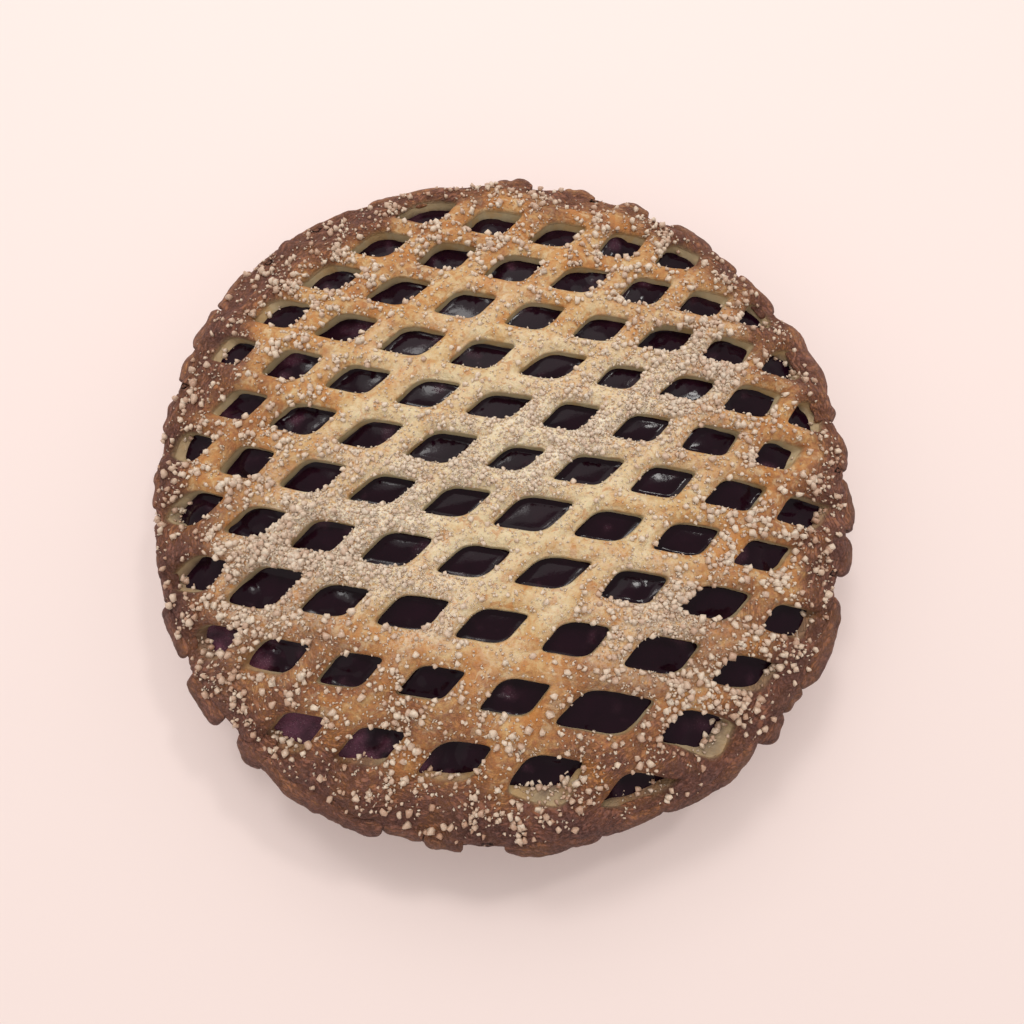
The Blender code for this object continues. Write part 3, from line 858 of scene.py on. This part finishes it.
# -------------------------------------------------------------- bottom crust
FLANGE_VIS_R = FLANGE_R - 0.0014     # the flange ends just inside the top crust
def build_shell():
    n = 420
    r0, r1 = WALL_IN_R, FLANGE_VIS_R
    def under(r):
        return dome_z(r) - STRIP_SINK - thickness(r)
    pts = []
    z_in = under(r0) - 0.0006
    # inner side, under the juice
    for t in np.linspace(0, 1, 14):
        r = 0.1040 + (0.1128 - 0.1040) * t
        z = (z_in - 0.0105) + (0.0105 - 0.0035) * t
        pts.append((r, z))
    # flange top, against the top crust
    for t in np.linspace(0.0, 1, 14):
        r = 0.1131 + (r1 - 0.001 - 0.1131) * t
        pts.append((r, under(r) + 0.0004 - 0.0020 * (1 - t)))
    edge_top = pts[-1][1]
    for t in np.linspace(15, 165, 9):
        a = math.radians(t)
        pts.append((r1 - 0.0012 + 0.0012 * math.sin(a), edge_top - FLANGE_T / 2 + FLANGE_T / 2 * math.cos(a)))
    z_under = edge_top - FLANGE_T
    for t in np.linspace(0.1, 1, 6):
        r = r1 - 0.0012 + (WALL_OUT_R - r1 + 0.0012) * t
        pts.append((r, z_under - 0.0008 * t * t))
    z_top = pts[-1][1]
    for t in np.linspace(0.95, 0.06, 22):
        r = BASE_R + (WALL_OUT_R - BASE_R) * t ** 0.85
        pts.append((r, z_top * t))
    for t in (20, 45, 70, 90):
        a = math.radians(t)
        pts.append((BASE_R - 0.0022 + 0.0022 * math.cos(a), 0.0022 * (1 - math.sin(a))))
    for r in np.linspace(BASE_R - 0.006, 0.004, 16):
        pts.append((r, 0.0))
    prof = np.array(pts)
    m = len(prof)
    ang = np.arange(n) / n * 2 * math.pi
    R = np.repeat(prof[:, 0][:, None], n, 1)
    Z = np.repeat(prof[:, 1][:, None], n, 1)
    A = np.repeat(ang[None, :], m, 0)
    x, y = (R * np.cos(A)).ravel(), (R * np.sin(A)).ravel()
    z = Z.ravel()
    P = np.stack([x, y, z], 1)
    # outward direction of the profile
    d = np.gradient(prof, axis=0)
    nr, nz = -d[:, 1], d[:, 0]
    ln = np.hypot(nr, nz)
    nr, nz = np.repeat(nr / ln, n), np.repeat(nz / ln, n)
    r = np.hypot(x, y)
    low = smooth(0.0, 0.004, z)
    outer = smooth(0.108, 0.116, r)
    amp = 0.00035 * N1.fbm(P, 120.0, 3) + 0.0002 * N2.fbm(P, 500.0, 2)
    W = np.stack([r, np.arctan2(y, x) * 0.03, z], 1)
    amp += outer * 0.0005 * N3.ridged(W, 380.0, 2)
    wave = 0.0006 * (np.sin(29 * np.arctan2(y, x)) + np.sin(5 * np.arctan2(y, x) + 0.6)) * outer
    h = amp * low
    k = np.clip((r - 0.105) / 0.010, 0, 1)
    grown = r * (1 + k * (slow_radius(A.ravel()) / EDGE_R - 1))
    drop = np.minimum(0.0, under(grown) - under(r)) * k
    rr = grown + nr * h + wave
    zz = z + nz * h + drop
    zz = np.maximum(zz, 0.0)
    V = np.stack([rr * np.cos(A.ravel()), rr * np.sin(A.ravel()), zz], 1)
    idx = np.arange(m * n).reshape(m, n)
    nxt = np.roll(idx, -1, axis=1)
    F = np.stack([idx[:-1], idx[1:], nxt[1:], nxt[:-1]], -1).reshape(-1, 4)
    # close the underside with a fan
    V = np.concatenate([V, [[0, 0, 0.0]]])
    c = m * n
    fan = np.stack([idx[-1], np.full(n, c), nxt[-1]], -1)
    ringk = np.repeat(np.arange(m), n)
    inner = ringk < 14
    t_in = np.clip((z - (z_in - 0.0085)) / 0.0085, 0, 1)
    brown = np.where(inner, 0.08 + 0.25 * smooth(0.7, 1.0, t_in), 0.72)
    brown = np.where(~inner & (zz < 0.028), 0.62 + 0.15 * smooth(0.0, 0.03, z), brown)
    brown = np.where(zz < 0.0005, 0.70, brown)
    stain = np.where(inner, 1 - smooth(0.55, 0.78, t_in), 0.0)
    brown = np.append(brown, 0.7)
    stain = np.append(stain, 0.0)
    return new_object("pie_shell", V, [F, fan], crust_material(), {"brown": brown, "stain": stain})


# ------------------------------------------------------------------- filling
GEL_R = 0.1132


def build_filling():
    """Set cherry juice, level with the underside of the strips: a sheet with
    a fine mesh inside each window, and sides and a floor inside the shell."""
    lines = np.concatenate([[-0.5, -0.42], np.linspace(-0.36, 0.36, 17), [0.42]])
    m = len(lines)
    ii, jj = np.arange(-8, 10), np.arange(-10, 10)
    u = (ii[:, None] + lines[None, :]).ravel()
    v = (jj[:, None] + lines[None, :]).ravel()
    U, V_ = np.meshgrid(u, v, indexing="ij")
    I, J = np.meshgrid(np.repeat(ii, m), np.repeat(jj, m), indexing="ij")
    x, y = stretched(U, V_)
    nu, nv = U.shape
    idx = np.arange(nu * nv).reshape(nu, nv)
    F = np.stack([idx[:-1, :-1], idx[1:, :-1], idx[1:, 1:], idx[:-1, 1:]], -1).reshape(-1, 4)
    x, y, U, V_, I, J = (k.ravel() for k in (x, y, U, V_, I, J))
    # far outside the pie the stretch folds over, so cells are kept by number
    cells = {c for c in cell_list()}
    ok_cell = np.array([(a, b) in cells for a, b in zip(I[F[:, 0]], J[F[:, 0]])])
    F = F[ok_cell]
    r = np.hypot(x, y)
    F = F[(r[F] < GEL_R).any(axis=1)]
    used = np.unique(F)
    remap = -np.ones(len(x), int)
    remap[used] = np.arange(len(used))
    F = remap[F]
    x, y, U, V_, I, J = (k[used] for k in (x, y, U, V_, I, J))
    r = np.hypot(x, y)
    k = np.where(r > GEL_R, GEL_R / r, 1.0)
    x, y = x * k, y * k
    r = np.hypot(x, y)
    P = np.stack([x, y, np.zeros_like(x)], 1)
    # how near the side of its window a point is: 0 in the middle, 1 at the side
    hu = WINDOW_U + WINDOW_U_BACK * y / PIE_R
    sc = np.array([WINDOW_SCALE.get((a, b), 1.0) for a, b in zip(I, J)])
    ga = (U - I) / (hu * sc)
    gb = (V_ - J + WINDOW_SHEAR * ga) / (WINDOW_V * sc)
    near = (np.abs(ga) ** 6 + np.abs(gb) ** 6) ** (1 / 6.0)
    near = np.clip(near, 0, 1.3)
    low_left = smooth(0.035, 0.105, -x * 0.62 - y * 0.72)
    z = dome_z(r) - 0.0046 - 0.0004 * smooth(0.060, 0.095, r) - 0.0004 * low_left
    z += 0.0004 * (1 - np.minimum(near, 1.0) ** 2) + 0.0007 * smooth(0.80, 1.0, near)
    # each window's juice has set at its own height and slope
    rng = np.random.RandomState(9)
    hts = {c: (rng.normal() * 0.00022, rng.normal() * 0.00030, rng.normal() * 0.00030) for c in sorted(cells)}
    own = np.array([hts.get((a, b), (0, 0, 0)) for a, b in zip(I, J)])
    fade = 1 - smooth(0.95, 1.15, near)
    z += fade * (own[:, 0] + own[:, 1] * ga + own[:, 2] * gb)
    # cherries under the skin, more of them showing towards the rim
    rng = np.random.RandomState(5)
    cherries = np.zeros(len(x))
    outer = smooth(0.050, 0.090, r)
    for _ in range(250):
        cr, ca = 0.103 * math.sqrt(rng.rand()), rng.rand() * 2 * math.pi
        cx, cy = cr * math.cos(ca), cr * math.sin(ca)
        d = np.hypot(x - cx, y - cy) / rng.uniform(0.0050, 0.0078)
        h = rng.uniform(0.0006, 0.0030) * np.sqrt(np.clip(1 - d * d, 0, 1))
        cherries = np.maximum(cherries, h)
    z += cherries * (0.05 + 0.50 * outer + 0.30 * low_left)
    z += (0.00007 + 0.00040 * outer) * N1.fbm(P, 170.0, 3) - 0.0004 * outer
    froth = 0.85 * smooth(0.0, 0.75, 0.9 * N2.fbm(P, 120.0, 3) + 0.95 * smooth(0.072, 0.110, -x * 0.55 - y * 0.80) - 0.22) \
        + 0.35 * smooth(0.25, 0.6, N3.fbm(P, 80.0, 2)) * outer
    froth = np.clip(froth, 0, 1)
    z += froth * 0.00035 * N3.fbm(P, 800.0, 2)
    V = np.stack([x, y, z], 1)
    # edges used once run round the outside
    e = np.concatenate([F[:, [0, 1]], F[:, [1, 2]], F[:, [2, 3]], F[:, [3, 0]]])
    key = np.sort(e, axis=1)
    _, inv, cnt = np.unique(key, axis=0, return_inverse=True, return_counts=True)
    border = e[cnt[inv.ravel()] == 1]
    ring = np.unique(border)
    low = np.zeros(len(V), int)
    low[ring] = len(V) + np.arange(len(ring))
    rr = np.hypot(V[ring, 0], V[ring, 1])
    Vl = np.stack([V[ring, 0] / rr * 0.0985, V[ring, 1] / rr * 0.0985, np.full(len(ring), 0.020)], 1)
    c = len(V) + len(ring)
    V = np.concatenate([V, Vl, [[0, 0, 0.020]]])
    side = np.stack([border[:, 1], border[:, 0], low[border[:, 0]], low[border[:, 1]]], -1)
    fan = np.stack([low[border[:, 1]], low[border[:, 0]], np.full(len(border), c)], -1)
    froth = np.concatenate([froth, np.zeros(len(ring) + 1)])
    d1, d2 = V[F[:, 2]] - V[F[:, 0]], V[F[:, 3]] - V[F[:, 1]]
    up = np.cross(d1, d2)
    if up[:, 2].sum() < 0:
        F, side, fan = F[:, ::-1], side[:, ::-1], fan[:, ::-1]
    good = np.linalg.norm(up, axis=1) > 2e-10
    return new_object("cherry_gel", V, [np.concatenate([F[good], side]), fan], filling_material(), {"froth": froth})


# --------------------------------------------------------------------- sugar
def crystal_shapes(rng, count, points):
    """Angular crystals: the hull of a few points near the faces of a box."""
    out = []
    for _ in range(count):
        p = rng.uniform(-1, 1, (points, 3))
        p /= (np.abs(p) ** 4).sum(1, keepdims=True) ** 0.25
        p *= rng.uniform(0.80, 1.0, (points, 1)) * rng.uniform(0.70, 1.05, 3)
        bm = bmesh.new()
        for c in p:
            bm.verts.new(c)
        res = bmesh.ops.convex_hull(bm, input=bm.verts)
        dead = {v for v in res["geom_interior"] + res["geom_unused"] if isinstance(v, bmesh.types.BMVert)}
        for v in dead:
            bm.verts.remove(v)
        bmesh.ops.triangulate(bm, faces=bm.faces)
        bm.verts.index_update()
        v = np.array([list(w.co) for w in bm.verts])
        t = np.array([[w.index for w in f.verts] for f in bm.faces])
        bm.free()
        out.append((v, t))
    return out


def upper_faces(objects):
    p0, p1, p2 = [], [], []
    for ob in objects:
        me = ob.data
        me.calc_loop_triangles()
        co = np.empty(len(me.vertices) * 3, np.float32)
        me.vertices.foreach_get("co", co)
        co = co.reshape(-1, 3).astype(float)
        tv = np.empty(len(me.loop_triangles) * 3, np.int32)
        me.loop_triangles.foreach_get("vertices", tv)
        tv = tv.reshape(-1, 3)
        p0.append(co[tv[:, 0]])
        p1.append(co[tv[:, 1]])
        p2.append(co[tv[:, 2]])
    p0, p1, p2 = np.concatenate(p0), np.concatenate(p1), np.concatenate(p2)
    nrm = np.cross(p1 - p0, p2 - p0)
    area = 0.5 * np.linalg.norm(nrm, axis=1)
    nrm /= np.maximum(2 * area, 1e-12)[:, None]
    return p0, p1, p2, nrm, area


def scatter(surface, density, count, size, seed, name, mat, sink=0.25, points=9, tint_brown=0.60, shade_range=(-0.25, 0.40)):
    """Crystals on the upper faces of the top crust, thicker where density says."""
    p0, p1, p2, nrm, area = surface
    cen = (p0 + p1 + p2) / 3
    w = area * density(cen[:, 0], cen[:, 1]) * smooth(0.50, 0.88, nrm[:, 2])
    rng = np.random.RandomState(seed)
    pick = rng.choice(len(p0), count, p=w / w.sum())
    s, t = rng.rand(count), rng.rand(count)
    fl = s + t > 1
    s[fl], t[fl] = 1 - s[fl], 1 - t[fl]
    pos = p0[pick] + s[:, None] * (p1 - p0)[pick] + t[:, None] * (p2 - p0)[pick]
    nn = nrm[pick]
    shapes = crystal_shapes(rng, 36, points)
    sizes = (size[0] + (size[1] - size[0]) * rng.rand(count) ** 1.4) * 0.5
    sizes *= 0.78 + 0.22 * smooth(0.30, 0.65, np.hypot(pos[:, 0], pos[:, 1]) / PIE_R)
    q = rng.normal(size=(count, 4))
    q /= np.linalg.norm(q, axis=1, keepdims=True)
    w_, x_, y_, z_ = q.T
    Rm = np.stack([
        np.stack([1 - 2 * (y_ ** 2 + z_ ** 2), 2 * (x_ * y_ - z_ * w_), 2 * (x_ * z_ + y_ * w_)], -1),
        np.stack([2 * (x_ * y_ + z_ * w_), 1 - 2 * (x_ ** 2 + z_ ** 2), 2 * (y_ * z_ - x_ * w_)], -1),
        np.stack([2 * (x_ * z_ - y_ * w_), 2 * (y_ * z_ + x_ * w_), 1 - 2 * (x_ ** 2 + y_ ** 2)], -1)], 1)
    kind = rng.randint(0, len(shapes), count)
    b = browning(pos[:, 0], pos[:, 1])
    shade = np.clip((b - 0.30) * tint_brown + rng.uniform(*shade_range, count), 0, 0.75)
    V, F, S = [], [], []
    base = 0
    for k, (shape, tri) in enumerate(shapes):
        g = np.nonzero(kind == k)[0]
        if not len(g):
            continue
        v = np.einsum("nij,kj->nki", Rm[g], shape) * sizes[g][:, None, None]
        v += (pos[g] + nn[g] * (sizes[g] * (1 - 2 * sink))[:, None])[:, None, :]
        nv1 = len(shape)
        V.append(v.reshape(-1, 3))
        F.append((tri[None] + base + nv1 * np.arange(len(g))[:, None, None]).reshape(-1, 3))
        S.append(np.repeat(shade[g], nv1))
        base += nv1 * len(g)
    return new_object(name, np.concatenate(V), np.concatenate(F), mat, {"shade": np.concatenate(S)}, smooth_shade=False)


# ---------------------------------------------------------------------- build
lattice_in, lattice_out = build_lattice()
pastry = lattice_out.data.materials[0]
lobes = build_lobes(pastry)
shell = build_shell()
gel = build_filling()
sugar_mat = sugar_material("pearl_sugar", srgb(240, 223, 203), srgb(208, 181, 156))


def clumps(x, y):
    p = np.stack([x, y, np.zeros_like(x)], 1)
    return smooth(-0.22, 0.40, N4.fbm(p, 95.0, 2))


def coarse_density(x, y):
    r = np.hypot(x, y) / PIE_R
    ring = smooth(0.42, 0.72, r) * (1 - smooth(0.90, 0.99, r))
    c = clumps(x, y)
    edge = smooth(0.90, 0.97, r) * (1 - smooth(1.0, 1.03, r))
    return 0.04 + 0.08 * c + ring * (0.10 + 0.80 * c ** 1.5) + 0.05 * edge + 1.7 * sugar_band(x, y) * (0.35 + c)


def fine_density(x, y):
    r = np.hypot(x, y) / PIE_R
    return 0.22 * (1 - smooth(0.85, 1.0, r)) + 0.25 * clumps(x, y) + 2.4 * sugar_band(x, y) ** 1.2


surface = upper_faces([lattice_in, lattice_out, lobes])
coarse = scatter(surface, coarse_density, 4500, (0.0014, 0.0032), 11, "sugar_coarse", sugar_mat, 0.32, points=15)
fine = scatter(surface, fine_density, 15000, (0.0007, 0.0016), 12, "sugar_fine", sugar_mat, 0.25, points=7,
               shade_range=(-0.35, 0.30))

for ob, slot in ((lattice_in, "lattice_pastry"), (lattice_out, "lattice_pastry"), (lobes, "lattice_pastry"),
                 (shell, "baked_crust"), (gel, "cherry_filling"),
                 (coarse, "pearl_sugar"), (fine, "pearl_sugar")):
    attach(ob, "root")
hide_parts("lattice_crust")
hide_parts("lattice_crust")
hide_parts("lattice_crust")
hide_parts("bottom_crust")
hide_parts("filling")

# ---------------------------------------------------------------------- stage
floor_mat, nt, bsdf, vec = base_material("floor")
bsdf.inputs["Base Color"].default_value = (*srgb(249, 231, 226), 1)
bsdf.inputs["Roughness"].default_value = 0.9
bsdf.inputs["Specular IOR Level"].default_value = 0.1
bpy.ops.mesh.primitive_plane_add(size=6.0, location=(0, 0, -0.0002))
floor = bpy.context.object
floor.name = "floor"
floor.data.materials.append(floor_mat)


def area_light(name, loc, target, size, power, color):
    data = bpy.data.lights.new(name, "AREA")
    data.shape = "DISK"
    data.size = size
    data.energy = power
    data.color = color
    ob = bpy.data.objects.new(name, data)
    bpy.context.scene.collection.objects.link(ob)
    ob.location = loc
    d = Vector(target) - Vector(loc)
    ob.rotation_euler = d.to_track_quat("-Z", "Y").to_euler()
    return ob


area_light("key", (-0.12, 0.66, 1.05), (0, 0, 0.03), 0.95, 3.0, (1.0, 0.985, 0.965))
area_light("side", (0.45, 0.45, 1.05), (0, 0, 0.03), 0.14, 1.8, (1.0, 0.985, 0.96))
area_light("sheen", (-0.26, 0.60, 1.14), (0, 0.02, 0.04), 0.27, 2.4, (1.0, 0.99, 0.98))
area_light("fill", (-0.7, -0.5, 0.9), (0, 0, 0.03), 0.9, 0.8, (1.0, 0.97, 0.95))
world = bpy.data.worlds.new("studio")
bpy.context.scene.world = world
world.use_nodes = True
world.node_tree.nodes["Background"].inputs["Color"].default_value = (1.0, 0.965, 0.94, 1)
world.node_tree.nodes["Background"].inputs["Strength"].default_value = 0.67
bpy.context.scene.view_settings.view_transform = "Standard"

cam_data = bpy.data.cameras.new("camera")
cam_data.lens = 750.0 / 1024.0 * 36.0
cam_data.sensor_width = 36.0
cam_data.clip_start = 0.01
cam = bpy.data.objects.new("camera", cam_data)
bpy.context.scene.collection.objects.link(cam)
el = 1.29495535
dist = 2.1187 * PIE_R
aim = np.array([0.0310 * PIE_R, -0.1094 * PIE_R, RIM_Z])
cam.location = aim + dist * np.array([0.0, -math.cos(el), math.sin(el)])
cam.rotation_euler = (math.pi / 2 - el, 0.0, 0.0)
bpy.context.scene.camera = cam

bpy.context.view_layer.update()
